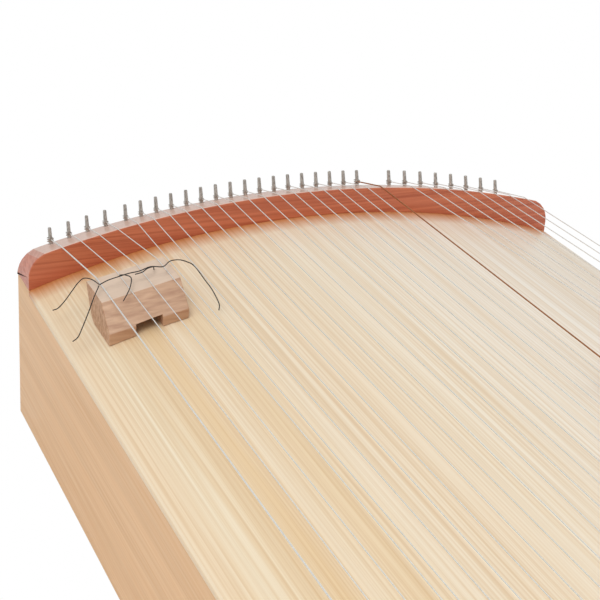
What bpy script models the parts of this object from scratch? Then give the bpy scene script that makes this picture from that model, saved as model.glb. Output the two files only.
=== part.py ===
"""A kotamo: a long arched sound box with four tambura strings, seventeen
monochord strings and eight koto strings over one soundboard.

Metres, +Z up. X runs across the strings, +Y points to the head end with the
tuning pins, and the origin is on the resting plane under the middle of the box.
"""
import math

import bmesh
import bpy
import numpy as np
from mathutils import Matrix, Vector

# Sound box
BODY_WIDTH = 0.540
BODY_LENGTH = 1.240
WALL_HEIGHT = 0.146
SIDE_THICKNESS = 0.015
END_THICKNESS = 0.016
BOTTOM_THICKNESS = 0.006
BOARD_THICKNESS = 0.005
BOARD_CROWN = 0.044
CORNER_ROUNDING = 0.003
GAP = 0.0003

# Feet
FOOT_HEIGHT = 0.008
FOOT_RADIUS = 0.015
FOOT_INSET_X = 0.060
FOOT_INSET_Y = 0.090

# Inner pieces
RIB_COUNT = 3
RIB_THICKNESS = 0.010
RIB_HEIGHT = 0.018
RIB_END_CLEARANCE = 0.004
LINING_WIDTH = 0.014
LINING_HEIGHT = 0.016
LEDGE_THICKNESS = 0.020
LEDGE_DEPTH = 0.022

# Sound hole in the tail board
SOUND_HOLE_RADIUS = 0.036
SOUND_HOLE_HEIGHT = 0.070

# Rails that carry the strings over the box's ends
RAIL_DEPTH = 0.042
RAIL_END_RISE = 0.0305
RAIL_CROWN = 0.0385
RAIL_FALL = 0.31
RAIL_CORNER_RADIUS = 0.021
RAIL_EDGE_CHAMFER = 0.0012
TAIL_RAIL_EXTRA_RISE = 0.006

# Tuning pins
PIN_RADIUS = 0.0018
PIN_SQUARE = 0.0029
PIN_SQUARE_LENGTH = 0.0085
PIN_EXPOSED = 0.0150
PIN_SUNK = 0.0270
PIN_SETBACK = 0.0355
PIN_TILT = math.radians(17.0)
TAMBURA_PINS = 4
MONOCHORD_PINS = 17
KOTO_PINS = 8
FIRST_PIN_INSET = 0.0297
TAMBURA_PIN_PITCH = 0.0173
MONOCHORD_PIN_PITCH = 0.0148
KOTO_PIN_PITCH = 0.0179
TAMBURA_PIN_GAP = 0.0193
KOTO_PIN_GAP = 0.0355

# Where the strings cross the head rail's front edge
FIRST_STRING_INSET = 0.0297
TAMBURA_STRING_PITCH = 0.0172
MONOCHORD_STRING_PITCH = 0.0153
KOTO_STRING_PITCH = 0.0188
TAMBURA_STRING_GAP = 0.0190
KOTO_STRING_GAP = 0.0344

# Strings and their windings on the pins
THIN_GAUGE = 0.0007
TAMBURA_GAUGE = 0.0009
KOTO_GAUGE = 0.0009
BASS_GAUGE = 0.0012
WINDING_TURNS = 2.25
WINDING_POINTS = 10
WINDING_GAP = 0.00045
WINDING_START = 0.0019
STRING_CLEARANCE = 0.0004

# Hitch bars on the tail rail, one for each group of strings
HITCH_RADIUS = 0.0020
HITCH_SETBACK = 0.0240
HITCH_OVERHANG = 0.0030

# Tambura bridge, measured from the head rail's front face and the left side
TAMBURA_BRIDGE_INSET = 0.0304
TAMBURA_BRIDGE_WIDTH = 0.0686
TAMBURA_BRIDGE_FRONT = 0.1430
TAMBURA_BRIDGE_SLOPE_TOP = 0.1190
TAMBURA_BRIDGE_BACK = 0.0755
TAMBURA_BRIDGE_FRONT_HEIGHT = 0.0108
TAMBURA_BRIDGE_HEIGHT = 0.0292
TAMBURA_TOP_TILT = 0.22
TAMBURA_TOP_CROWN = 0.0005
TUNNEL_INSET = 0.0230
TUNNEL_WIDTH = 0.0230
TUNNEL_HEIGHT = 0.0100
BRIDGE_STRING_SHIFT = 0.0090
BRIDGE_STRING_PITCH = 0.0179
BRIDGE_EDGE = 0.0009

# Koto bridges
KOTO_BRIDGE_HEIGHT = 0.0465
KOTO_FOOT_HALF = 0.0200
KOTO_TOP_HALF = 0.0035
KOTO_ARCH_HALF = 0.0125
KOTO_ARCH_HEIGHT = 0.0190
KOTO_BASE_THICKNESS = 0.0110
KOTO_TOP_THICKNESS = 0.0050
KOTO_FLANK_POWER = 1.9
KOTO_FIRST_DISTANCE = 0.378
KOTO_SECOND_DISTANCE = 0.575
KOTO_STEP_START = 0.065
KOTO_STEP_LOSS = 0.005

# Threads on the tambura bridge
THREAD_DIAMETER = 0.0009
THREAD_POINT_STEP = 2.6

HALF_WIDTH = BODY_WIDTH / 2
HALF_LENGTH = BODY_LENGTH / 2
RAIL_FRONT_Y = HALF_LENGTH - RAIL_DEPTH
WALL_BOTTOM = FOOT_HEIGHT
WALL_TOP = FOOT_HEIGHT + WALL_HEIGHT


def arc_rise(x, crown):
    """Height of a circular arc of that crown over the box's width."""
    radius = (HALF_WIDTH ** 2 + crown ** 2) / (2 * crown)
    return math.sqrt(max(radius ** 2 - x ** 2, 0.0)) - (radius - crown)


def board_top(x):
    return WALL_TOP + arc_rise(x, BOARD_CROWN)


def board_underside(x):
    return board_top(x) - BOARD_THICKNESS


def rail_edge(x, extra=0.0):
    """Height of a rail's front top edge, without its rounded ends."""
    return WALL_TOP + RAIL_END_RISE + extra + arc_rise(x, RAIL_CROWN)


def rail_surface(x, setback, extra=0.0):
    return rail_edge(x, extra) - RAIL_FALL * setback


def clear_scene():
    for thing in list(bpy.data.objects):
        bpy.data.objects.remove(thing, do_unlink=True)


def material(name, colour, roughness, metallic=0.0):
    result = bpy.data.materials.new(name)
    result.use_nodes = True
    shader = result.node_tree.nodes["Principled BSDF"]
    shader.inputs["Base Color"].default_value = (*colour, 1.0)
    shader.inputs["Roughness"].default_value = roughness
    shader.inputs["Metallic"].default_value = metallic
    return result


def place(name, data, finish):
    result = bpy.data.objects.new(name, data)
    bpy.context.scene.collection.objects.link(result)
    data.materials.append(finish)
    return result


def finish_mesh(name, shape, finish, smooth_angle=None):
    bmesh.ops.recalc_face_normals(shape, faces=shape.faces)
    mesh = bpy.data.meshes.new(name)
    shape.to_mesh(mesh)
    shape.free()
    if smooth_angle is not None:
        mesh.shade_smooth()
        mesh.set_sharp_from_angle(angle=math.radians(smooth_angle))
    return place(name, mesh, finish)


def add_rings(shape, rings):
    """Skin between closed rings of equal count, with a cap on each end."""
    loops = [[shape.verts.new(point) for point in ring] for ring in rings]
    count = len(loops[0])
    for lower, upper in zip(loops, loops[1:]):
        for i in range(count):
            j = (i + 1) % count
            shape.faces.new((lower[i], lower[j], upper[j], upper[i]))
    shape.faces.new(list(reversed(loops[0])))
    shape.faces.new(loops[-1])


def loft(name, rings, finish, smooth_angle=None):
    shape = bmesh.new()
    add_rings(shape, rings)
    return finish_mesh(name, shape, finish, smooth_angle)


def box(name, low, high, finish):
    corners = ((low[0], low[1]), (high[0], low[1]), (high[0], high[1]), (low[0], high[1]))
    return loft(name, [[(x, y, z) for x, y in corners] for z in (low[2], high[2])], finish)


def add_turned(shape, profile, sides, frame=Matrix.Identity(4)):
    """A turned solid: each (radius, height) of the profile is one ring."""
    turn = [2 * math.pi * i / sides for i in range(sides)]
    rings = [[frame @ Vector((radius * math.cos(a), radius * math.sin(a), height)) for a in turn]
             for radius, height in profile]
    add_rings(shape, rings)


def add_tube(shape, path, radius, sides):
    """A tube of four or more sides along a path, its ends square and closed."""
    points = [Vector(point) for point in path]
    rings = []
    side = None
    for i, point in enumerate(points):
        ahead = points[min(i + 1, len(points) - 1)] - points[max(i - 1, 0)]
        ahead.normalize()
        if side is None:
            side = ahead.orthogonal().normalized()
        side = (side - ahead * side.dot(ahead)).normalized()
        other = ahead.cross(side)
        turn = [2 * math.pi * k / sides for k in range(sides)]
        rings.append([point + radius * (math.cos(a) * side + math.sin(a) * other) for a in turn])
    add_rings(shape, rings)


def combine(target, other, operation="DIFFERENCE"):
    """Cut another solid away from the target, or join it to the target."""
    other.hide_render = True
    other.display_type = "WIRE"
    boolean = target.modifiers.new("combine", "BOOLEAN")
    boolean.operation = operation
    boolean.solver = "EXACT"
    boolean.object = other


def soften(target, width, segments=2):
    bevel = target.modifiers.new("edges", "BEVEL")
    bevel.width = width
    bevel.segments = segments
    bevel.limit_method = "ANGLE"
    bevel.angle_limit = math.radians(35)


def round_edges(shape, width, chosen):
    edges = [edge for edge in shape.edges if chosen(edge)]
    bmesh.ops.bevel(shape, geom=edges, offset=width, segments=3, profile=0.5, affect="EDGES")


def make_side(name, sign, finish, cutter_finish):
    """A side wall: its top meets the board's underside and, at both ends, the rails."""
    outer = sign * HALF_WIDTH
    inner = sign * (HALF_WIDTH - SIDE_THICKNESS)
    low, high = sorted((outer, inner))
    corners = ((low, -HALF_LENGTH), (high, -HALF_LENGTH), (high, HALF_LENGTH), (low, HALF_LENGTH))
    shape = bmesh.new()
    add_rings(shape, [[(x, y, z) for x, y in corners] for z in (WALL_BOTTOM, WALL_TOP - GAP)])

    def is_outer(edge):
        at_side = all(abs(v.co.x - outer) < 1e-6 for v in edge.verts)
        ends = [v.co.z for v in edge.verts]
        at_bottom = max(ends) < WALL_BOTTOM + 1e-6
        return at_side and (at_bottom or abs(ends[0] - ends[1]) > 1e-3)

    round_edges(shape, CORNER_ROUNDING, is_outer)
    wall = finish_mesh(name, shape, finish, 40)
    steps = 4
    reach = CORNER_ROUNDING
    stations = [inner - sign * reach + sign * (SIDE_THICKNESS + 2 * reach) * i / steps
                for i in range(steps + 1)]
    half = RAIL_FRONT_Y
    rings = []
    for x in stations:
        base = board_underside(x) - GAP
        rings.append([(x, -half, base), (x, half, base), (x, half, base + 0.05), (x, -half, base + 0.05)])
    combine(wall, loft(name + "_board_seat", rings, cutter_finish))
    return wall


def make_end_board(name, sign, finish):
    """The upright board that closes one end between the side walls."""
    outer = sign * HALF_LENGTH
    inner = sign * (HALF_LENGTH - END_THICKNESS)
    low, high = sorted((outer, inner))
    reach = HALF_WIDTH - SIDE_THICKNESS - GAP
    return box(name, (-reach, low, WALL_BOTTOM), (reach, high, WALL_TOP - GAP), finish)


def arch_ring(y, reach, top, bottom, steps):
    """Ring across the box at one Y, between two heights that depend on x."""
    xs = [-reach + 2 * reach * i / steps for i in range(steps + 1)]
    upper = [(x, y, top(x)) for x in xs]
    lower = [(x, y, bottom(x)) for x in reversed(xs)]
    return upper + lower


def make_soundboard(finish):
    """A thin board bent over the box, its long edges flush with the walls and eased."""
    half = RAIL_FRONT_Y - GAP
    ease = 0.35 * BOARD_THICKNESS
    steps = 26
    xs = [-HALF_WIDTH + ease + 2 * (HALF_WIDTH - ease) * i / steps for i in range(steps + 1)]
    upper = [(x, board_top(x)) for x in xs]
    lower = [(x, board_underside(x)) for x in reversed(xs)]
    lower[0] = (HALF_WIDTH, board_underside(HALF_WIDTH))
    lower[-1] = (-HALF_WIDTH, board_underside(HALF_WIDTH))
    flank = board_top(HALF_WIDTH) - ease
    outline = [(-HALF_WIDTH, flank)] + upper + [(HALF_WIDTH, flank)] + lower
    rings = [[(x, y, z) for x, z in outline] for y in (-half, half)]
    return loft("soundboard", rings, finish, 30)


def make_ribs(finish):
    """Arched ribs glued under the soundboard, lower towards the walls."""
    reach = HALF_WIDTH - SIDE_THICKNESS - LINING_WIDTH - RIB_END_CLEARANCE
    inner_length = 2 * (RAIL_FRONT_Y - LEDGE_THICKNESS)
    for i in range(RIB_COUNT):
        y = -inner_length / 2 + inner_length * (i + 1) / (RIB_COUNT + 1)
        rings = [arch_ring(y + side, reach, lambda x: board_underside(x) - GAP,
                           lambda x: board_underside(x) - GAP - RIB_HEIGHT * (1 - 0.55 * (x / reach) ** 2),
                           16) for side in (-RIB_THICKNESS / 2, RIB_THICKNESS / 2)]
        loft("rib_%d" % (i + 1), rings, finish)


def make_ledge(name, sign, finish):
    """The arched beam inside one end, which carries the soundboard's end grain edge."""
    reach = HALF_WIDTH - SIDE_THICKNESS - GAP
    outer = RAIL_FRONT_Y - GAP
    foot = WALL_TOP - LEDGE_DEPTH
    rings = [arch_ring(sign * y, reach, lambda x: board_underside(x) - GAP, lambda x: foot, 20)
             for y in (outer - LEDGE_THICKNESS, outer)]
    return loft(name, rings, finish)


def make_linings(finish):
    """A three-cornered strip along each wall, under the board's glued edge."""
    half = RAIL_FRONT_Y - LEDGE_THICKNESS - 2 * GAP
    for name, sign in (("lining_left", -1), ("lining_right", 1)):
        wall = HALF_WIDTH - SIDE_THICKNESS - GAP
        inner = wall - LINING_WIDTH
        section = [(wall, board_underside(wall) - GAP), (inner, board_underside(inner) - GAP),
                   (inner, board_underside(inner) - GAP - 0.3 * LINING_HEIGHT),
                   (wall, board_underside(wall) - GAP - LINING_HEIGHT)]
        loft(name, [[(sign * x, y, z) for x, z in section] for y in (-half, half)], finish)


def make_bottom(finish):
    reach = HALF_WIDTH - SIDE_THICKNESS - GAP
    half = HALF_LENGTH - END_THICKNESS - GAP
    return box("bottom_board", (-reach, -half, WALL_BOTTOM),
               (reach, half, WALL_BOTTOM + BOTTOM_THICKNESS), finish)


def make_feet(finish):
    ease = 0.15 * FOOT_RADIUS
    top = FOOT_HEIGHT - GAP
    profile = [(FOOT_RADIUS - ease, 0.0), (FOOT_RADIUS, ease), (0.92 * FOOT_RADIUS, top)]
    for along, sy in (("head", 1), ("tail", -1)):
        for side, sx in (("left", -1), ("right", 1)):
            shape = bmesh.new()
            spot = Vector((sx * (HALF_WIDTH - FOOT_INSET_X), sy * (HALF_LENGTH - FOOT_INSET_Y), 0))
            add_turned(shape, profile, 20, Matrix.Translation(spot))
            finish_mesh("foot_%s_%s" % (along, side), shape, finish, 50)


def rail_top(x, extra):
    """A rail's front edge height with the quarter rounding of its two ends."""
    inset = HALF_WIDTH - abs(x)
    height = rail_edge(x, extra)
    if inset >= RAIL_CORNER_RADIUS:
        return height
    start = rail_edge(HALF_WIDTH - RAIL_CORNER_RADIUS, extra)
    across = RAIL_CORNER_RADIUS - inset
    drop = RAIL_CORNER_RADIUS - math.sqrt(max(RAIL_CORNER_RADIUS ** 2 - across ** 2, 0.0))
    return start - drop - (start - height) * 0.5


def rail_stations():
    """Positions across a rail: even on the arc, closer on the rounded ends."""
    flat = HALF_WIDTH - RAIL_CORNER_RADIUS
    even = [-flat + 2 * flat * i / 30 for i in range(31)]
    corner = [flat + RAIL_CORNER_RADIUS * math.sin(math.radians(a)) for a in (18, 36, 52, 66, 78, 90)]
    return [-x for x in reversed(corner)] + even + corner


def make_rail(name, sign, extra, finish):
    """An end rail: flat below, arched along its length and falling away to the outside."""
    front = RAIL_FRONT_Y
    back = HALF_LENGTH
    c = RAIL_EDGE_CHAMFER
    rings = []
    for x in rail_stations():
        edge = rail_top(x, extra)
        rear = edge - RAIL_FALL * RAIL_DEPTH
        rings.append([(x, sign * front, WALL_TOP), (x, sign * front, edge - 1.5 * c),
                      (x, sign * (front + 0.3 * c), edge - 0.5 * c),
                      (x, sign * (front + c), edge - RAIL_FALL * c),
                      (x, sign * (back - c), rear + RAIL_FALL * c), (x, sign * back, rear - c),
                      (x, sign * back, WALL_TOP)])
    return loft(name, rings, finish, 35)


def string_row(first, pitches, gaps):
    """Positions across the box of the tambura, monochord and koto groups."""
    counts = (TAMBURA_PINS, MONOCHORD_PINS, KOTO_PINS)
    groups = []
    x = -HALF_WIDTH + first
    for count, pitch, gap in zip(counts, pitches, (*gaps, 0.0)):
        groups.append([x + pitch * i for i in range(count)])
        x = groups[-1][-1] + gap
    return groups


def pin_row():
    return string_row(FIRST_PIN_INSET, (TAMBURA_PIN_PITCH, MONOCHORD_PIN_PITCH, KOTO_PIN_PITCH),
                      (TAMBURA_PIN_GAP, KOTO_PIN_GAP))


def crossing_row():
    return string_row(FIRST_STRING_INSET,
                      (TAMBURA_STRING_PITCH, MONOCHORD_STRING_PITCH, KOTO_STRING_PITCH),
                      (TAMBURA_STRING_GAP, KOTO_STRING_GAP))


def bass_pins():
    """The two strings of wound bronze: the tambura's first and the monochord's last."""
    return (0, TAMBURA_PINS + MONOCHORD_PINS - 1)


def gauges():
    row = [TAMBURA_GAUGE] * TAMBURA_PINS + [THIN_GAUGE] * MONOCHORD_PINS + [KOTO_GAUGE] * KOTO_PINS
    for i in bass_pins():
        row[i] = BASS_GAUGE
    return row


def pin_frame(x):
    """The pin's own frame: its origin where the axis leaves the rail, its Z along the pin."""
    y = RAIL_FRONT_Y + PIN_SETBACK
    spot = Vector((x, y, rail_surface(x, PIN_SETBACK)))
    return Matrix.Translation(spot) @ Matrix.Rotation(-PIN_TILT, 4, "X")


def hitch_height(x):
    """Height of a hitch bar's axis, resting on the tail rail's falling top."""
    lift = (HITCH_RADIUS + GAP) / math.cos(math.atan(RAIL_FALL))
    return rail_surface(x, HITCH_SETBACK, TAIL_RAIL_EXTRA_RISE) + lift


def make_bores(name, frames, radius, depth, finish):
    """Blind holes for a row of pins, a little wider and deeper than the pins."""
    shape = bmesh.new()
    for frame in frames:
        add_turned(shape, [(radius, -depth), (radius, 0.012)], 12, frame)
    return finish_mesh(name, shape, finish)


def winding_path(gauge):
    """From the pin's string hole outwards, then a helix that climbs one wire and one gap a turn."""
    radius = PIN_RADIUS + GAP + gauge / 2
    climb = gauge + WINDING_GAP
    path = [Vector((0.0, 0.3 * PIN_RADIUS, WINDING_START))]
    for i in range(round(WINDING_TURNS * WINDING_POINTS) + 1):
        turn = i / WINDING_POINTS
        angle = math.pi / 2 + 2 * math.pi * turn
        path.append(Vector((radius * math.cos(angle), radius * math.sin(angle),
                            WINDING_START + climb * turn)))
    return path


def least_gap(path, diameter):
    """Smallest clear distance between one turn of a winding and the next."""
    points = np.array([tuple(p) for p in path])
    apart = np.linalg.norm(points[:, None, :] - points[None, :, :], axis=2)
    steps = np.abs(np.subtract.outer(np.arange(len(points)), np.arange(len(points))))
    return apart[steps >= WINDING_POINTS // 2].min() - diameter


def pin_shape():
    """A tuning pin: a round shank with an eased tip and a square head for the key."""
    turn = [math.radians(45 * i + 22.5) for i in range(8)]

    def round_ring(radius, height):
        return [(radius * math.cos(a), radius * math.sin(a), height) for a in turn]

    def square_ring(side, height):
        half = side / 2
        inner = 0.56 * half
        return [(half, inner, height), (inner, half, height), (-inner, half, height),
                (-half, inner, height), (-half, -inner, height), (-inner, -half, height),
                (inner, -half, height), (half, -inner, height)]

    head = PIN_EXPOSED - PIN_SQUARE_LENGTH
    shape = bmesh.new()
    add_rings(shape, [
        round_ring(0.6 * PIN_RADIUS, -PIN_SUNK), round_ring(PIN_RADIUS, PIN_RADIUS - PIN_SUNK),
        round_ring(PIN_RADIUS, head - 0.0006), square_ring(1.09 * PIN_SQUARE, head),
        square_ring(0.97 * PIN_SQUARE, PIN_EXPOSED - 0.0008), square_ring(0.66 * PIN_SQUARE, PIN_EXPOSED)])
    return shape


def make_pins(finish):
    pins = []
    for i, (x, gauge) in enumerate(zip(sum(pin_row(), []), gauges())):
        name = "tuning_pin_%02d" % (i + 1)
        pin = finish_mesh(name, pin_shape(), finish, 50)
        path = winding_path(gauge)
        shape = bmesh.new()
        add_tube(shape, path, gauge / 2, 4)
        winding = finish_mesh(name + "_winding", shape, finish)
        combine(pin, winding, "UNION")
        for thing in (pin, winding):
            thing.matrix_world = pin_frame(x)
        pins.append(pin)
        if i == 0:
            print("least gap of a winding to itself, mm:", round(1000 * least_gap(path[1:], gauge), 3))
    return pins


def bridge_base(x):
    return board_top(x) + GAP


def bridge_left():
    return -HALF_WIDTH + TAMBURA_BRIDGE_INSET


def bridge_top(x):
    return board_top(bridge_left()) + TAMBURA_BRIDGE_HEIGHT + TAMBURA_TOP_TILT * (x - bridge_left())


def make_tambura_bridge(finish):
    """A block on the arched board: tilted top, long front slope, undercut back, a tunnel below."""
    left = bridge_left()
    steps = 8
    rings = []
    for i in range(steps + 1):
        x = left + TAMBURA_BRIDGE_WIDTH * i / steps
        base = bridge_base(x)
        shoulder = board_top(left) + TAMBURA_BRIDGE_FRONT_HEIGHT + TAMBURA_TOP_TILT * (x - left)
        top = bridge_top(x)
        section = [(TAMBURA_BRIDGE_FRONT, base), (TAMBURA_BRIDGE_FRONT, shoulder),
                   (TAMBURA_BRIDGE_SLOPE_TOP, top),
                   ((TAMBURA_BRIDGE_SLOPE_TOP + TAMBURA_BRIDGE_BACK) / 2, top + TAMBURA_TOP_CROWN),
                   (TAMBURA_BRIDGE_BACK, top)]
        low = 0.34 * (top - base)
        for back, part in ((0.0115, 1.0), (0.0150, 0.6), (0.0195, 0.25), (0.0245, 0.0)):
            section.append((TAMBURA_BRIDGE_BACK + back, base + low * part))
        rings.append([(x, RAIL_FRONT_Y - depth, z) for depth, z in section])
    bridge = loft("tambura_bridge", rings, finish, 30)
    tunnel_left = left + TUNNEL_INSET
    rings = []
    for i in range(4):
        x = tunnel_left + TUNNEL_WIDTH * i / 3
        low = bridge_base(x) - 0.01
        high = bridge_base(x) + TUNNEL_HEIGHT
        near = RAIL_FRONT_Y - TAMBURA_BRIDGE_FRONT - 0.01
        far = RAIL_FRONT_Y - TAMBURA_BRIDGE_BACK + 0.01
        rings.append([(x, near, low), (x, far, low), (x, far, high), (x, near, high)])
    combine(bridge, loft("bridge_tunnel", rings, finish))
    soften(bridge, BRIDGE_EDGE, 1)
    return bridge


def koto_distances():
    """How far each koto bridge stands from the head rail: the first alone, the rest closing up."""
    row = [KOTO_FIRST_DISTANCE, KOTO_SECOND_DISTANCE]
    step = KOTO_STEP_START
    while len(row) < KOTO_PINS:
        row.append(row[-1] + step)
        step -= KOTO_STEP_LOSS
    return row


def board_radius():
    return (HALF_WIDTH ** 2 + BOARD_CROWN ** 2) / (2 * BOARD_CROWN)


def koto_frame(string_x, distance):
    """Frame of a koto bridge: on the board, square to it, its apex under the string."""
    radius = board_radius()
    centre_z = WALL_TOP + BOARD_CROWN - radius
    lean = math.asin(string_x / (radius + GAP + KOTO_BRIDGE_HEIGHT))
    foot = Vector(((radius + GAP) * math.sin(lean), RAIL_FRONT_Y - distance,
                   centre_z + (radius + GAP) * math.cos(lean)))
    return Matrix.Translation(foot) @ Matrix.Rotation(lean, 4, "Y")


def koto_bridge_mesh(finish):
    """An arched bridge with hollow flanks, thin at the top, notched for its string."""
    height = KOTO_BRIDGE_HEIGHT
    flank = []
    for i in range(8):
        z = 0.003 + (height - 0.004) * i / 7
        spread = (1 - (z - 0.003) / (height - 0.003)) ** KOTO_FLANK_POWER
        flank.append((KOTO_TOP_HALF + (KOTO_FOOT_HALF - KOTO_TOP_HALF) * spread, z))
    crown = [(KOTO_TOP_HALF * 0.8, height), (0.0009, height), (0.0, height - KOTO_GAUGE),
             (-0.0009, height), (-KOTO_TOP_HALF * 0.8, height)]
    arch = []
    for i in range(9):
        a = math.pi * i / 8
        arch.append((-KOTO_ARCH_HALF * math.cos(a), KOTO_ARCH_HEIGHT * math.sin(a)))
    outline = [(KOTO_FOOT_HALF, 0.0)] + flank + crown
    outline += [(-x, z) for x, z in reversed(flank)] + [(-KOTO_FOOT_HALF, 0.0)] + arch
    shape = bmesh.new()
    rings = []
    for side in (-1, 1):
        ring = []
        for x, z in outline:
            thick = KOTO_BASE_THICKNESS + (KOTO_TOP_THICKNESS - KOTO_BASE_THICKNESS) * z / height
            ring.append((x, side * thick / 2, z))
        rings.append(ring)
    add_rings(shape, rings)
    bmesh.ops.recalc_face_normals(shape, faces=shape.faces)
    mesh = bpy.data.meshes.new("koto_bridge")
    shape.to_mesh(mesh)
    shape.free()
    mesh.materials.append(finish)
    return mesh


def make_koto_bridges(finish):
    mesh = koto_bridge_mesh(finish)
    bridges = []
    for i, (x, distance) in enumerate(zip(crossing_row()[2], koto_distances())):
        bridge = bpy.data.objects.new("koto_bridge_%d" % (i + 1), mesh)
        bridge.matrix_world = koto_frame(x, distance)
        bpy.context.scene.collection.objects.link(bridge)
        bridges.append(bridge)
    return bridges


def string_ends(pin_x, gauge):
    """Where a string leaves its winding, and the clear height over an edge."""
    end = winding_path(gauge)[-1]
    return pin_frame(pin_x) @ (end + Vector((0, -GAP - 0.7 * gauge, 0)))


def hitch_end(x):
    """The string's tail end, inside its hitch bar."""
    return Vector((x, -(RAIL_FRONT_Y + HITCH_SETBACK), hitch_height(x)))


def over_rail(x, gauge, sign, extra=0.0):
    """The point where a string bends over a rail's front edge."""
    return Vector((x, sign * (RAIL_FRONT_Y + 0.0008), rail_edge(x, extra) + STRING_CLEARANCE + gauge / 2))


def string_routes():
    """Each string's corner points from its winding to its hitch pin."""
    routes = []
    pins = pin_row()
    crossings = crossing_row()
    sizes = gauges()
    index = 0
    for group in range(3):
        for i, (pin_x, x) in enumerate(zip(pins[group], crossings[group])):
            gauge = sizes[index]
            index += 1
            tail_x = x
            route = [string_ends(pin_x, gauge), over_rail(x, gauge, 1)]
            if group == 0:
                tail_x = crossings[0][0] + BRIDGE_STRING_SHIFT + BRIDGE_STRING_PITCH * i
                lift = STRING_CLEARANCE + gauge / 2
                for setback in (TAMBURA_BRIDGE_BACK + 0.001, TAMBURA_BRIDGE_SLOPE_TOP - 0.001):
                    route.append(Vector((tail_x, RAIL_FRONT_Y - setback, bridge_top(tail_x) + lift)))
                middle = (TAMBURA_BRIDGE_BACK + TAMBURA_BRIDGE_SLOPE_TOP) / 2
                crest = bridge_top(tail_x) + TAMBURA_TOP_CROWN + lift
                route.insert(3, Vector((tail_x, RAIL_FRONT_Y - middle, crest)))
            if group == 2:
                apex = koto_frame(x, koto_distances()[i]) @ Vector(
                    (0, 0, KOTO_BRIDGE_HEIGHT - KOTO_GAUGE + STRING_CLEARANCE + 0.62 * gauge))
                route.append(apex)
            route.append(over_rail(tail_x, gauge, -1, TAIL_RAIL_EXTRA_RISE))
            route.append(hitch_end(tail_x))
            routes.append((route, gauge))
    return routes


def make_strings(name, routes, finish):
    """A group's straight wires, each ending on the hitch bar that holds the group."""
    xs = [route[-1].x for route, gauge in routes]
    reach = [xs[0] - HITCH_OVERHANG] + xs + [xs[-1] + HITCH_OVERHANG]
    bar = bmesh.new()
    add_tube(bar, [hitch_end(x) for x in reach], HITCH_RADIUS, 8)
    strings = bmesh.new()
    for route, gauge in routes:
        add_tube(strings, route, gauge / 2, 6)
    result = finish_mesh(name, bar, finish, 50)
    combine(result, finish_mesh(name + "_wires", strings, finish), "UNION")
    return result


def main():
    clear_scene()
    pine = material("pine_soundboard", (0.80, 0.66, 0.44), 0.45)
    beech = material("light_hardwood", (0.70, 0.47, 0.27), 0.5)
    cherry = material("red_hardwood", (0.46, 0.15, 0.065), 0.42)
    walnut = material("walnut", (0.36, 0.19, 0.10), 0.5)
    maple = material("bridge_hardwood", (0.42, 0.22, 0.11), 0.45)
    spruce = material("inner_spruce", (0.72, 0.56, 0.36), 0.7)
    steel = material("nickel_steel", (0.50, 0.49, 0.47), 0.25, 1.0)
    wire = material("string_wire", (0.72, 0.70, 0.66), 0.3, 1.0)
    rubber = material("foot_rubber", (0.03, 0.03, 0.03), 0.8)

    make_soundboard(pine)
    make_side("side_left", -1, beech, beech)
    make_side("side_right", 1, beech, beech)
    make_end_board("head_board", 1, beech)
    tail = make_end_board("tail_board", -1, beech)
    shape = bmesh.new()
    hole = Matrix.Translation(Vector((0, -HALF_LENGTH, SOUND_HOLE_HEIGHT))) @ Matrix.Rotation(
        math.radians(90), 4, "X")
    add_turned(shape, [(SOUND_HOLE_RADIUS, -0.05), (SOUND_HOLE_RADIUS, 0.05)], 40, hole)
    combine(tail, finish_mesh("sound_hole", shape, beech))
    make_bottom(beech)
    make_feet(rubber)
    make_ribs(spruce)
    make_linings(spruce)
    make_ledge("head_ledge", 1, spruce)
    make_ledge("tail_ledge", -1, spruce)
    head_rail = make_rail("head_rail", 1, 0.0, cherry)
    combine(head_rail, make_bores("pin_bores", [pin_frame(x) for x in sum(pin_row(), [])],
                                  PIN_RADIUS + GAP, PIN_SUNK + GAP, cherry))
    make_rail("tail_rail", -1, TAIL_RAIL_EXTRA_RISE, cherry)
    make_pins(steel)
    make_tambura_bridge(walnut)
    make_koto_bridges(maple)
    routes = string_routes()
    last_monochord = TAMBURA_PINS + MONOCHORD_PINS
    make_strings("tambura_strings", routes[:TAMBURA_PINS], wire)
    make_strings("monochord_strings", routes[TAMBURA_PINS:last_monochord], wire)
    make_strings("koto_strings", routes[last_monochord:], wire)


main()
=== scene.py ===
import math
import bpy
import numpy as np
from mathutils import Matrix, Vector


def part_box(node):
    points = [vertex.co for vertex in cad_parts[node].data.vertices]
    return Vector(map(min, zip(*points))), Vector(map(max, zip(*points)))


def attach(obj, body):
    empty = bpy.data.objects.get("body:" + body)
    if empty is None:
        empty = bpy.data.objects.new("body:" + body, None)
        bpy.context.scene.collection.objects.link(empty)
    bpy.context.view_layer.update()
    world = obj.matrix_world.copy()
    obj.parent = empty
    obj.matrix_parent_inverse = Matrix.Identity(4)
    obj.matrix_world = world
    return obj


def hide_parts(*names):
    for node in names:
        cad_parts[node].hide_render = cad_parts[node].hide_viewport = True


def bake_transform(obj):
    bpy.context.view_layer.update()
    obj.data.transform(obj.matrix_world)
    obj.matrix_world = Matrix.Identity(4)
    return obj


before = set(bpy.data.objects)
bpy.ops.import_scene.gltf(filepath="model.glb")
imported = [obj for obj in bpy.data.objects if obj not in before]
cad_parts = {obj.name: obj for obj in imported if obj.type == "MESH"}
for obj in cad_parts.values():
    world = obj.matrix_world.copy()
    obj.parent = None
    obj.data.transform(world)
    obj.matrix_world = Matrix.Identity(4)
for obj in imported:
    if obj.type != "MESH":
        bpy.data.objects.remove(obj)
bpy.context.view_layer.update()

mm = 0.001
white = (1.0, 1.0, 1.0, 1.0)
boxLook = {"half": 270, "wallTop": 154, "railFront": 578}  # in mm, from the box's middle and the floor


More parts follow.
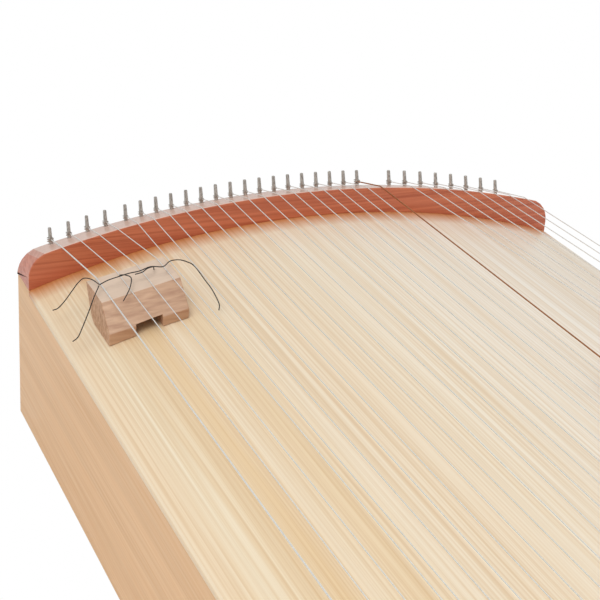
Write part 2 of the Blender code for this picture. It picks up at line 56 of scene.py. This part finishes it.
def linear(value):  # one screen value, 0 to 255, as the linear light that Blender takes
    share = value / 255
    return share / 12.92 if share <= 0.04045 else ((share + 0.055) / 1.055) ** 2.4


def colour(r, g, b):
    return (linear(r), linear(g), linear(b), 1.0)


# Shader helpers

def newMaterial(name, roughness, metallic=0.0):
    material = bpy.data.materials.new(name)
    material.use_nodes = True
    shader = material.node_tree.nodes["Principled BSDF"]
    shader.inputs["Roughness"].default_value = roughness
    shader.inputs["Metallic"].default_value = metallic
    return material, material.node_tree, shader


def objectPattern(tree, scale):  # Object coordinates, stretched by one factor for each axis
    where = tree.nodes.new("ShaderNodeTexCoord")
    stretch = tree.nodes.new("ShaderNodeMapping")
    stretch.inputs["Scale"].default_value = scale
    tree.links.new(where.outputs["Object"], stretch.inputs["Vector"])
    return stretch.outputs["Vector"]


def noise(tree, vector, scale=1.0, detail=4.0, distortion=0.0):
    node = tree.nodes.new("ShaderNodeTexNoise")
    node.inputs["Scale"].default_value = scale
    node.inputs["Detail"].default_value = detail
    node.inputs["Distortion"].default_value = distortion
    tree.links.new(vector, node.inputs["Vector"])
    return node.outputs["Fac"]


def ramp(tree, factor, stops):
    node = tree.nodes.new("ShaderNodeValToRGB")
    elements = node.color_ramp.elements
    for place, value in stops[2:]:
        elements.new(place)
    for element, (place, value) in zip(elements, stops):
        element.position = place
        element.color = value
    tree.links.new(factor, node.inputs["Fac"])
    return node.outputs["Color"]


def mix(tree, kind, amount, first, second):  # one colour over another, by a fixed or a linked amount
    node = tree.nodes.new("ShaderNodeMix")
    node.data_type = "RGBA"
    node.blend_type = kind
    for value, name in ((amount, "Factor"), (first, "A"), (second, "B")):
        socket = node.inputs[name]
        if isinstance(value, (float, tuple)):
            socket.default_value = value
        else:
            tree.links.new(value, socket)
    return node.outputs["Result"]


def remap(tree, value, low, high, toLow=0.0, toHigh=1.0):
    node = tree.nodes.new("ShaderNodeMapRange")
    for socket, number in (("From Min", low), ("From Max", high), ("To Min", toLow), ("To Max", toHigh)):
        node.inputs[socket].default_value = number
    tree.links.new(value, node.inputs["Value"])
    return node.outputs["Result"]


def relief(tree, shader, height, strength, distance):
    node = tree.nodes.new("ShaderNodeBump")
    node.inputs["Strength"].default_value = strength
    node.inputs["Distance"].default_value = distance
    tree.links.new(height, node.inputs["Height"])
    tree.links.new(node.outputs["Normal"], shader.inputs["Normal"])


# Wood: long fibres from stretched noise, broad tone changes, fine pores in the relief

woodLooks = {  # stretch is how fast the pattern changes along X, Y and Z; the tone for faces that look up is a painted highlight, the lamp's reflection on polished wood
    "beechSides": {"dark": (226, 178, 128), "light": (242, 202, 156), "stretch": (30, 6, 420),
                   "contrast": 0.7},
    "beechEnds": {"dark": (206, 160, 120), "light": (230, 196, 160), "stretch": (6, 30, 420)},
    "cherryRail": {"dark": (172, 80, 50), "light": (222, 130, 92), "stretch": (5, 60, 380),
                   # the cherry rail's paler top is a painted highlight
                   "roughness": 0.36, "contrast": 0.6, "paintedHighlightTone": (232, 206, 190), "coat": 0.35},
    "walnutBlock": {"dark": (156, 104, 72), "light": (218, 178, 144), "stretch": (9, 260, 260),
                    # the walnut block's paler top is a painted highlight
                    "contrast": 0.6, "pores": 0.2, "paintedHighlightTone": (226, 206, 186)},
    "bridgeWood": {"dark": (120, 76, 50), "light": (168, 116, 82), "stretch": (60, 60, 380)},
    "innerSpruce": {"dark": (206, 176, 134), "light": (236, 212, 174), "stretch": (8, 60, 300),
                    "roughness": 0.7},
}
woodShared = {  # what a wood takes where its own look doesn't say otherwise
    "roughness": 0.42,
    "contrast": 0.55,
    "pores": 0.12,
    "poreDepth": 0.4 * mm,
    "cloudTone": (0.80, 0.76, 0.70, 1.0),
    "cloudShare": 0.55,
    "facesUp": (0.75, 0.93),  # how far a face's normal points up where the painted highlight begins and where it is full
    # the most of the painted highlight that a face takes
    "paintedHighlightShare": 0.75,
    "duller": 0.08,  # how much rougher than stated the dark fibres are
    "smoother": 0.06,  # and how much smoother the light ones
    "coat": 0.0,
}


def paintHighlightOnTops(tree, tone, base):
    # painted highlight: faces that look up take more of a paler tone, standing in for the lamp's reflection
    # on polished wood
    surface = tree.nodes.new("ShaderNodeNewGeometry")
    parts = tree.nodes.new("ShaderNodeSeparateXYZ")
    tree.links.new(surface.outputs["Normal"], parts.inputs["Vector"])
    highlightAmount = remap(tree, parts.outputs["Z"], *woodShared["facesUp"], toHigh=woodShared["paintedHighlightShare"])
    return mix(tree, "MIX", highlightAmount, base, tone)


def wood(name):
    look = woodShared | woodLooks[name]
    material, tree, shader = newMaterial(name, look["roughness"])
    along = objectPattern(tree, look["stretch"])
    fibre = noise(tree, along, detail=6.0, distortion=0.3)
    broad = noise(tree, along, scale=0.16, detail=3.0, distortion=0.6)
    base = ramp(tree, fibre, [(0.5 - look["contrast"] / 2, colour(*look["dark"])),
                              (0.5 + look["contrast"] / 2, colour(*look["light"]))])
    clouds = ramp(tree, broad, [(0.3, look["cloudTone"]), (0.7, white)])
    tone = mix(tree, "MULTIPLY", look["cloudShare"], base, clouds)
    # painted highlight on the faces that look up
    if "paintedHighlightTone" in look:
        tone = paintHighlightOnTops(tree, colour(*look["paintedHighlightTone"]), tone)
    tree.links.new(tone, shader.inputs["Base Color"])
    dull, smooth = look["roughness"] + look["duller"], look["roughness"] - look["smoother"]
    gloss = remap(tree, fibre, low=0.3, high=0.7, toLow=dull, toHigh=smooth)
    tree.links.new(gloss, shader.inputs["Roughness"])
    relief(tree, shader, fibre, look["pores"], look["poreDepth"])
    shader.inputs["Coat Weight"].default_value = look["coat"]
    return material


# Soundboard: planks of slightly different tone across the box, fine straight grain along the strings

boardLook = {
    "tones": [(-270, (240, 222, 194)), (-262, (236, 214, 182)), (-243, (240, 226, 200)),
              (-225, (238, 220, 190)), (-205, (232, 204, 162)), (-190, (240, 224, 198)),
              (-165, (235, 212, 176)), (-140, (241, 227, 204)), (-100, (239, 222, 196)),
              (-60, (241, 228, 206)), (0, (243, 233, 216)), (80, (243, 234, 220)),
              (160, (243, 235, 223)), (225, (242, 233, 219)), (270, (240, 230, 214))],  # by X in mm
    "fibre": (620.0, 2.4, 40.0),
    "fibreTone": (0.80, 0.66, 0.48, 1.0),
    "betweenFibres": (1.0, 0.985, 0.96, 1.0),
    "rings": (170.0, 0.9, 10.0),
    "ringTone": (0.90, 0.80, 0.66, 1.0),
    "fibreShare": 0.55,
    "ringShare": 0.50,
    "railFootPaintedShade": (214, 150, 92),  # painted shade: the board darkened warm along the head rail's foot
    # how far from the head rail's front the painted shade reaches
    "railFootShadeReach": 26,
    "roughness": 0.38,
    "coat": 0.25,
    "coatRoughness": 0.25,
}


def boardMaterial():
    material, tree, shader = newMaterial("pineBoard", boardLook["roughness"])
    position = tree.nodes.new("ShaderNodeTexCoord")
    parts = tree.nodes.new("ShaderNodeSeparateXYZ")
    tree.links.new(position.outputs["Object"], parts.inputs["Vector"])
    half = boxLook["half"]
    across = remap(tree, parts.outputs["X"], -half * mm, half * mm)
    base = ramp(tree, across, [((x + half) / (2 * half), colour(*tone)) for x, tone in boardLook["tones"]])
    fibre = noise(tree, objectPattern(tree, boardLook["fibre"]), detail=5.0, distortion=0.15)
    rings = noise(tree, objectPattern(tree, boardLook["rings"]), detail=3.0, distortion=0.2)
    fibreLines = ramp(tree, fibre, [(0.36, boardLook["fibreTone"]), (0.60, boardLook["betweenFibres"])])
    ringLines = ramp(tree, rings, [(0.34, boardLook["ringTone"]), (0.52, white)])
    lined = mix(tree, "MULTIPLY", boardLook["fibreShare"], base, fibreLines)
    ringed = mix(tree, "MULTIPLY", boardLook["ringShare"], lined, ringLines)
    # painted shade: the board turns a warm dark brown over the strip next to the head rail's foot
    railFront = boxLook["railFront"] * mm
    foot = remap(tree, parts.outputs["Y"], railFront - boardLook["railFootShadeReach"] * mm, railFront)
    shaded = mix(tree, "MULTIPLY", foot, ringed, colour(*boardLook["railFootPaintedShade"]))
    tree.links.new(shaded, shader.inputs["Base Color"])
    relief(tree, shader, fibre, strength=0.08, distance=0.3 * mm)
    shader.inputs["Coat Weight"].default_value = boardLook["coat"]
    shader.inputs["Coat Roughness"].default_value = boardLook["coatRoughness"]
    return material


# Metal, rubber and thread

def metal(name, dark, light, roughness, scale=900.0, metallic=1.0):
    material, tree, shader = newMaterial(name, roughness, metallic)
    grain = noise(tree, objectPattern(tree, (scale, scale, scale * 0.3)))
    tree.links.new(ramp(tree, grain, [(0.3, dark), (0.7, light)]), shader.inputs["Base Color"])
    gloss = remap(tree, grain, low=0.3, high=0.7, toLow=roughness - 0.06, toHigh=roughness + 0.08)
    tree.links.new(gloss, shader.inputs["Roughness"])
    relief(tree, shader, grain, strength=0.05, distance=0.1 * mm)
    return material


def matt(name, dark, light, roughness, scale):
    material, tree, shader = newMaterial(name, roughness)
    grain = noise(tree, objectPattern(tree, (scale, scale, scale)), detail=5.0)
    tree.links.new(ramp(tree, grain, [(0.3, dark), (0.7, light)]), shader.inputs["Base Color"])
    relief(tree, shader, grain, strength=0.2, distance=0.2 * mm)
    return material


def dress(material, *names):
    for name in names:
        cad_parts[name].data.materials.clear()
        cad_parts[name].data.materials.append(material)


pinMaterial = metal("nickelPins", colour(150, 142, 134), colour(216, 210, 202), roughness=0.34)
wireMaterial = metal("wire", colour(214, 212, 208), colour(250, 249, 246), roughness=0.42, scale=1500.0,
                     metallic=0.6)
bronzeMaterial = metal("bronzeWire", colour(150, 92, 52), colour(206, 140, 92), roughness=0.35, scale=1500.0)
rubberMaterial = matt("rubber", colour(18, 18, 18), colour(44, 43, 42), roughness=0.8, scale=400.0)
threadMaterial = matt("blackThread", colour(10, 9, 9), colour(34, 30, 28), roughness=0.6, scale=3000.0)

dress(boardMaterial(), "soundboard")
dress(wood("beechSides"), "side_left", "side_right")
dress(wood("beechEnds"), "head_board", "tail_board", "bottom_board")
dress(wood("cherryRail"), "head_rail", "tail_rail")
dress(wood("walnutBlock"), "tambura_bridge")
dress(wood("bridgeWood"), *["koto_bridge_%d" % (i + 1) for i in range(8)])
dress(wood("innerSpruce"), "head_ledge", "tail_ledge", "rib_1", "rib_2", "rib_3",
      "lining_left", "lining_right")
dress(pinMaterial, *["tuning_pin_%02d" % (i + 1) for i in range(29)])
dress(wireMaterial, "tambura_strings", "monochord_strings", "koto_strings")
dress(rubberMaterial, *["foot_%s_%s" % (end, hand) for end in ("head", "tail") for hand in ("left", "right")])
print("materials on the carried-over nodes: done")


# Threads between the tambura strings and their bridge, in mm; each starts at a string's knot

threadLook = {"diameter": 0.9, "sides": 10, "stepsPerPoint": 5}
threadRoutes = {
    "juariThreadLeft": [
        (-235.7, 478, 200.6), (-237.3, 493.4, 198.3), (-240.4, 505.5, 194.6), (-244.7, 508, 190.1),
        (-250.5, 505.4, 184.8), (-258.6, 500.2, 178.3), (-264.7, 499.6, 172.4), (-267.8, 505, 168.3)],
    "juariThreadDown": [
        (-236.2, 476.2, 200.2), (-244, 465.1, 195), (-250.9, 455.5, 188.2), (-258.4, 446.5, 180.1),
        (-263.7, 442.7, 172.5), (-266.8, 447.5, 166.5)],
    "juariThreadAcross": [
        (-236.2, 474.9, 201.6), (-228.5, 475.3, 204.7), (-219.1, 474.8, 207.2), (-211, 474.2, 209.3),
        (-202.5, 471.7, 211.5), (-192.8, 472.7, 213.8), (-185.5, 466.7, 215.4), (-180.2, 472.2, 213.5),
        (-171.7, 482.8, 212.2), (-162.9, 486.1, 210.9), (-156, 484.1, 209.1), (-151.2, 478, 206.9),
        (-148, 461.6, 201.3), (-146.8, 445.9, 198.4), (-146, 431.6, 192.3), (-148, 426.3, 188.9)],
    "juariThreadFront": [
        (-218, 478.4, 206.6), (-213.3, 478.4, 206.2), (-209.5, 472.5, 205.5), (-214.9, 459.7, 202.2),
        (-224.1, 447.2, 197.9)],
    "juariThreadRight": [
        (-206.9, 470.5, 209.4), (-201, 469.2, 211.3), (-195.6, 472.3, 212.6), (-188.5, 479.2, 210.3),
        (-185.6, 484.5, 206.3), (-186.5, 482.4, 201.9), (-189.9, 475, 196.4), (-194.8, 465.3, 191),
        (-201, 452.1, 186.2), (-206.1, 442.4, 181.3)],
}


def smoothRoute(corners, steps):
    # a cubic through the corners, whose slope at each is half the step between its two neighbours
    corners = np.asarray(corners, float) * mm
    padded = np.vstack([2 * corners[0] - corners[1], corners, 2 * corners[-1] - corners[-2]])
    t = np.linspace(0, 1, steps, endpoint=False)[:, None]
    spans = []
    for a, b, c, d in zip(padded[:-3], padded[1:-2], padded[2:-1], padded[3:]):
        spans.append(0.5 * (2 * b + (c - a) * t + (2 * a - 5 * b + 4 * c - d) * t ** 2
                            + (3 * b - a - 3 * c + d) * t ** 3))
    return np.vstack(spans + [corners[-1:]])


def tubeObject(name, path, radius, sides, material):
    # circles carried along the path, point + radius * (cos a * side + sin a * other), where side stays
    # square to the path and starts square to offPath, a direction that no path here starts in
    path = np.asarray(path, float)
    ahead = np.gradient(path, axis=0)
    ahead /= np.linalg.norm(ahead, axis=1)[:, None]
    offPath = (0.31, 0.17, 0.93)
    side = np.cross(ahead[0], offPath)
    turn = np.linspace(0, 2 * math.pi, sides, endpoint=False)
    rings = []
    for point, forward in zip(path, ahead):
        side = side - forward * np.dot(side, forward)
        side /= np.linalg.norm(side)
        other = np.cross(forward, side)
        rings.append(point + radius * (np.cos(turn)[:, None] * side + np.sin(turn)[:, None] * other))
    count = len(path)
    points = np.vstack(rings)
    i, j = np.meshgrid(np.arange(count - 1), np.arange(sides), indexing="ij")
    k = (j + 1) % sides
    corners = [i * sides + j, i * sides + k, (i + 1) * sides + k, (i + 1) * sides + j]
    faces = np.stack(corners, -1).reshape(-1, 4).tolist()
    faces.append(list(range(sides))[::-1])
    faces.append([(count - 1) * sides + n for n in range(sides)])
    mesh = bpy.data.meshes.new(name)
    mesh.from_pydata(points.tolist(), [], faces)
    mesh.shade_smooth()
    mesh.set_sharp_from_angle(angle=math.radians(60))
    mesh.materials.append(material)
    result = bpy.data.objects.new(name, mesh)
    bpy.context.scene.collection.objects.link(result)
    return result


# Strings, in mm: from the end of each pin's winding over the rails and bridges to the hitch bars

stringLook = {
    "railRise": 30.5,  # the rail's edge above the wall's top, at the box's sides
    "railCrown": 38.5,
    "railFall": 0.31,
    "tailExtra": 6,  # how much higher the tail rail is
    "boardCrown": 44,
    "lift": 0.75,  # from an edge to the middle of the wire that bends over it
    "overEdge": 1.2,  # how far behind the rail's front face the wire bends
    "thick": 1.25,
    "plain": 0.85,
    "wireSides": 10,
    "bend": 1.2,  # how far from a corner its ease starts
    "bendShare": 0.3,  # and the most of either run that it takes
    "tambura": {"first": -240.3, "pitch": 17.2, "count": 4, "shift": 9.0, "bridgePitch": 17.9},
    "monochord": {"first": -169.7, "pitch": 15.3, "count": 17},
    "koto": {"first": 109.5, "pitch": 18.8, "count": 8},
}
blockLook = {"left": -239.6, "height": 29.2, "tilt": 0.22, "crown": 0.5, "back": 76.5, "front": 118}
kotoLook = {"distances": [378, 575, 640, 700, 755, 805, 850, 890], "height": 46.5, "seat": 0.3}
hitchLook = {"setback": 24, "radius": 2.0, "gap": 0.3, "overhang": 3, "sides": 16}
windingLook = {"inside": 8.5, "below": 9.8}  # its end, from the upper rear corner of its pin's own box


def arcRadius(crown):  # of a circular arc of that crown over the box
    return (boxLook["half"] ** 2 + crown ** 2) / (2 * crown)


def arcRise(x, crown):
    return math.sqrt(arcRadius(crown) ** 2 - x ** 2) - (arcRadius(crown) - crown)


def railEdge(x, extra=0):
    return boxLook["wallTop"] + stringLook["railRise"] + extra + arcRise(x, stringLook["railCrown"])


def crestPoint(x):
    return (x, boxLook["railFront"] + stringLook["overEdge"], railEdge(x) + stringLook["lift"])


def tailCrest(x):
    height = railEdge(x, stringLook["tailExtra"]) + stringLook["lift"]
    return (x, -(boxLook["railFront"] + stringLook["overEdge"]), height)


def hitchPoint(x):
    lift = (hitchLook["radius"] + hitchLook["gap"]) * math.hypot(1, stringLook["railFall"])
    fall = stringLook["railFall"] * hitchLook["setback"]
    height = railEdge(x, stringLook["tailExtra"]) - fall + lift
    return (x, -boxLook["railFront"] - hitchLook["setback"], height)


def blockPoint(x, setback):  # on the tambura bridge's tilted top
    base = boxLook["wallTop"] + arcRise(blockLook["left"], stringLook["boardCrown"])
    rise = blockLook["height"] + blockLook["tilt"] * (x - blockLook["left"]) + blockLook["crown"]
    return (x, boxLook["railFront"] - setback, base + rise + stringLook["lift"])


def kotoApex(x, distance):  # a koto bridge stands square to the board's arc, so its top lies on a larger arc
    centre = boxLook["wallTop"] + stringLook["boardCrown"] - arcRadius(stringLook["boardCrown"])
    reach = arcRadius(stringLook["boardCrown"]) + kotoLook["height"] + kotoLook["seat"]
    return (x, boxLook["railFront"] - distance, centre + reach * math.cos(math.asin(x / reach)))


def pinEnd(number):  # where the string leaves its winding, read from the pin's own box
    low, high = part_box("tuning_pin_%02d" % number)
    return ((low[0] + high[0]) / 2 / mm, high[1] / mm - windingLook["inside"],
            high[2] / mm - windingLook["below"])


def joined(name, parts):  # several tubes made one object
    for part in parts:
        part.select_set(True)
    bpy.context.view_layer.objects.active = parts[0]
    with bpy.context.temp_override(active_object=parts[0], selected_editable_objects=parts):
        bpy.ops.object.join()
    parts[0].name = name
    return parts[0]


def straightRoute(corners):  # straight runs, with a short eased bend at each corner
    corners = [Vector(corner) * mm for corner in corners]
    path = [corners[0]]
    for before, here, after in zip(corners, corners[1:], corners[2:]):
        room = stringLook["bendShare"] * min((here - before).length, (after - here).length)
        ease = min(stringLook["bend"] * mm, room)
        path.append(here + (before - here).normalized() * ease)
        path.append(here)
        path.append(here + (after - here).normalized() * ease)
    path.append(corners[-1])
    return path


def wirePiece(name, routes, size, material):
    radius = stringLook[size] / 2 * mm
    tubes = [tubeObject(name, straightRoute(route), radius, stringLook["wireSides"], material)
             for route in routes]
    return joined(name, tubes) if len(tubes) > 1 else tubes[0]


def wireBetween(name, route, size):  # a wire with its placement baked into its mesh, attached to no body
    wire = wirePiece(name, [route], size, wireMaterial)
    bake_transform(wire)
    return wire


def spread(group):
    facts = stringLook[group]
    return [facts["first"] + facts["pitch"] * i for i in range(facts["count"])]


def tamburaTailRow():  # the tambura strings stand further to the right from their bridge on
    facts = stringLook["tambura"]
    return [facts["first"] + facts["shift"] + facts["bridgePitch"] * i for i in range(facts["count"])]


def makeMonochordStrings():  # straight from rail to rail; the last one is wound with bronze
    firstPin = stringLook["tambura"]["count"] + 1
    routes = [[pinEnd(firstPin + i), crestPoint(x), tailCrest(x), hitchPoint(x)]
              for i, x in enumerate(spread("monochord"))]
    plain = wirePiece("monochordWires", routes[:-1], "plain", wireMaterial)
    bronze = wirePiece("monochordBassWire", routes[-1:], "thick", bronzeMaterial)
    for piece in (plain, bronze):
        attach(piece, "box")
    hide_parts("monochord_strings")


def makeTamburaStrings():  # over the block bridge, where the strings step sideways
    block = "tambura_bridge_body"
    for i, (x, across) in enumerate(zip(spread("tambura"), tamburaTailRow())):
        size = "plain" if i else "thick"
        crest, tail = crestPoint(x), tailCrest(across)
        back, front = blockPoint(across, blockLook["back"]), blockPoint(across, blockLook["front"])
        head = wireBetween("tamburaWireHead%d" % (i + 1), [pinEnd(i + 1), crest, back], size)
        middle = wirePiece("tamburaWireBridge%d" % (i + 1), [[back, front]], size, wireMaterial)
        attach(middle, block)
        wireBetween("tamburaWireTail%d" % (i + 1), [front, tail, hitchPoint(across)], size)
        if i == 0:
            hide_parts("tambura_strings")


def makeKotoStrings():  # each bends over the top of its own bridge
    firstPin = stringLook["tambura"]["count"] + stringLook["monochord"]["count"] + 1
    for i, (x, distance) in enumerate(zip(spread("koto"), kotoLook["distances"])):
        crest, apex, tail = crestPoint(x), kotoApex(x, distance), tailCrest(x)
        head = wireBetween("kotoWireHead%d" % (i + 1), [pinEnd(firstPin + i), crest, apex], "plain")
        wireBetween("kotoWireTail%d" % (i + 1), [apex, tail, hitchPoint(x)], "plain")
        if i == 0:
            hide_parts("koto_strings")


def makeHitchBar(name, row):  # the bar that holds a group's tail ends
    ends = [row[0] - hitchLook["overhang"]] + row + [row[-1] + hitchLook["overhang"]]
    path = [Vector(hitchPoint(x)) * mm for x in ends]
    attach(tubeObject(name, path, hitchLook["radius"] * mm, hitchLook["sides"], pinMaterial), "box")


makeMonochordStrings()
makeTamburaStrings()
makeKotoStrings()
makeHitchBar("tamburaHitchBar", tamburaTailRow())
makeHitchBar("monochordHitchBar", spread("monochord"))
makeHitchBar("kotoHitchBar", spread("koto"))
print("strings: done")

for threadName, threadCorners in threadRoutes.items():
    path = smoothRoute(threadCorners, threadLook["stepsPerPoint"])
    diameter = threadLook["diameter"] * mm
    thread = tubeObject(threadName, path, diameter / 2, threadLook["sides"], threadMaterial)
    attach(thread, "tambura_bridge_body")
print("threads: done")


# Camera, floor and light

cameraLook = {
    "place": (-0.569, -0.6175, 0.7293),
    "yaw": 25.36,  # from +Y towards +X, in degrees, as are the next two
    "pitch": 25.08,
    "roll": 4.05,
    "lens": 90.0,
}


def aimCamera():
    yaw, pitch, roll = (math.radians(cameraLook[key]) for key in ("yaw", "pitch", "roll"))
    forward = Vector((math.sin(yaw) * math.cos(pitch), math.cos(yaw) * math.cos(pitch), -math.sin(pitch)))
    right = Vector((math.cos(yaw), -math.sin(yaw), 0))
    up = right.cross(forward)
    turnedRight = right * math.cos(roll) + up * math.sin(roll)
    turnedUp = up * math.cos(roll) - right * math.sin(roll)
    rows = Matrix((turnedRight, turnedUp, -forward)).transposed().to_4x4()
    camera = bpy.data.objects.new("photoCamera", bpy.data.cameras.new("photoCamera"))
    camera.matrix_world = Matrix.Translation(cameraLook["place"]) @ rows
    camera.data.lens = cameraLook["lens"]
    camera.data.sensor_width = 36.0
    camera.data.clip_start = 0.01
    bpy.context.scene.collection.objects.link(camera)
    bpy.context.scene.camera = camera


studioLook = {
    "target": (0, 0.4, 0.2),
    "lamps": {"softKey": {"place": (-1.2, -0.4, 2.2), "size": 1.4, "power": 26},
              "rightFill": {"place": (1.8, 0.2, 1.4), "size": 1.2, "power": 8}},
    "worldLight": 0.62,  # what the white surroundings give; the camera sees them at strength 1
    "floorReach": 6.0,
    "floorTone": (0.85, 0.85, 0.85, 1.0),
}


def areaLight(name, place, size, power):
    lamp = bpy.data.lights.new(name, "AREA")
    lamp.size = size
    lamp.energy = power
    lampObject = bpy.data.objects.new(name, lamp)
    lampObject.location = place
    aim = Vector(studioLook["target"]) - Vector(place)
    lampObject.rotation_euler = aim.to_track_quat("-Z", "Y").to_euler()
    bpy.context.scene.collection.objects.link(lampObject)


def plainFloor():  # the camera sees it plain white; light falls on it as on pale paper
    mesh = bpy.data.meshes.new("floor")
    reach = studioLook["floorReach"]
    corners = [(-reach, -reach, 0), (reach, -reach, 0), (reach, reach, 0), (-reach, reach, 0)]
    mesh.from_pydata(corners, [], [(0, 1, 2, 3)])
    floor = bpy.data.objects.new("floor", mesh)
    bpy.context.scene.collection.objects.link(floor)
    material, tree, shader = newMaterial("whiteFloor", 0.9)
    glow = tree.nodes.new("ShaderNodeEmission")
    glow.inputs["Color"].default_value = white
    rays = tree.nodes.new("ShaderNodeLightPath")
    blend = tree.nodes.new("ShaderNodeMixShader")
    shader.inputs["Base Color"].default_value = studioLook["floorTone"]
    tree.links.new(rays.outputs["Is Camera Ray"], blend.inputs[0])
    tree.links.new(shader.outputs[0], blend.inputs[1])
    tree.links.new(glow.outputs[0], blend.inputs[2])
    tree.links.new(blend.outputs[0], tree.nodes["Material Output"].inputs["Surface"])
    mesh.materials.append(material)
    return floor


def whiteWorld():
    world = bpy.data.worlds.new("studio")
    world.use_nodes = True
    tree = world.node_tree
    background = tree.nodes["Background"]
    background.inputs["Color"].default_value = white
    rays = tree.nodes.new("ShaderNodeLightPath")
    strength = remap(tree, rays.outputs["Is Camera Ray"], 0, 1, studioLook["worldLight"], 1.0)
    tree.links.new(strength, background.inputs["Strength"])
    bpy.context.scene.world = world


aimCamera()
whiteWorld()
plainFloor()
for lampName, lampFacts in studioLook["lamps"].items():
    areaLight(lampName, **lampFacts)
bpy.context.scene.view_settings.view_transform = "Standard"
print("camera, floor and light: done")
